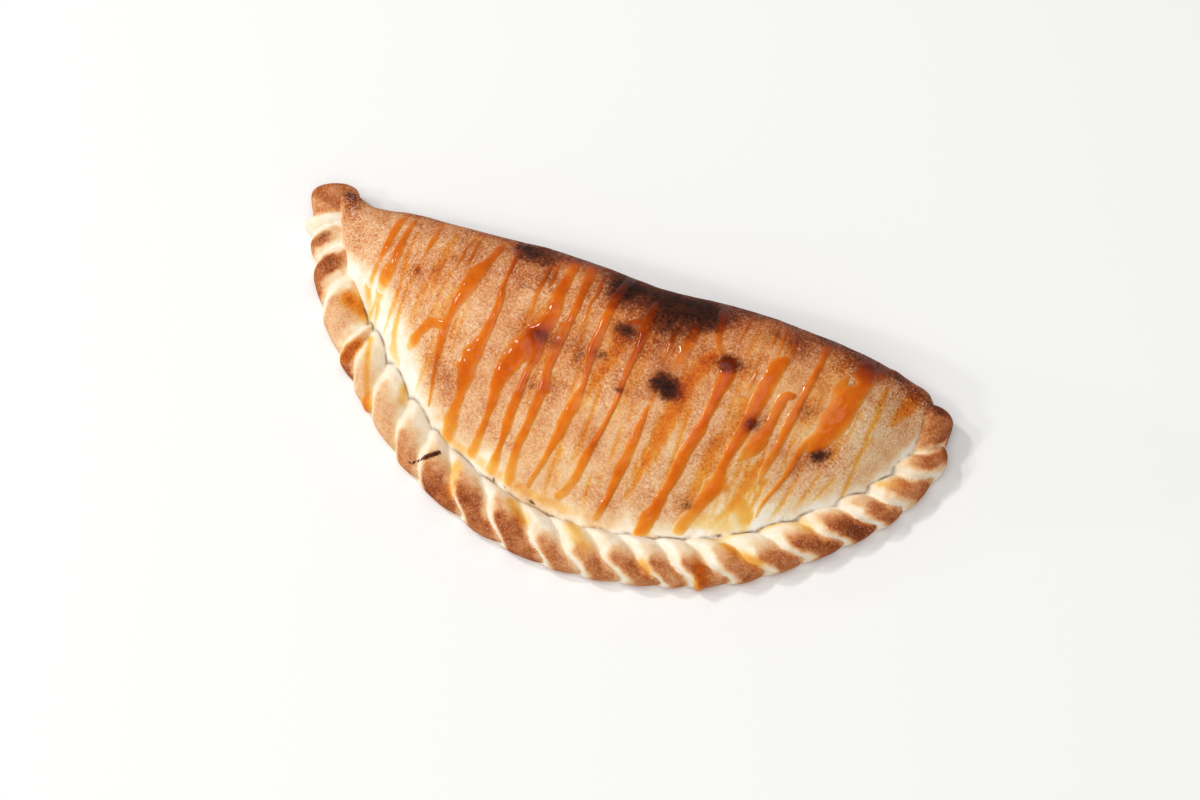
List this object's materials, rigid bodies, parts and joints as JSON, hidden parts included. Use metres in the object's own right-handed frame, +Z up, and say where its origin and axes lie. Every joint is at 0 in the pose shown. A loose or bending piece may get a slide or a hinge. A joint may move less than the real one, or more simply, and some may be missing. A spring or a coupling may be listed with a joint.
{
  "type": "calzone",
  "caption": "Half-moon folded calzone with a domed belly, a rounded fold and a rope-twisted crimped edge, lying flat.",
  "frame": {"origin": "on the flat underside, in the middle of the length and depth of the whole calzone", "axes": "+X along the fold towards the blunt tip, +Y from the crimped edge towards the folded back, +Z up"},
  "size_m": [0.295, 0.131, 0.0497],
  "materials": {
    "crust": "baked pizza dough crust, satin matte, floury golden brown with char marks",
    "glaze": "thin glossy orange sauce drizzled in streaks over the crust"
  },
  "bodies": {
    "root": {"calzone": "crust"}
  },
  "joints": []
}
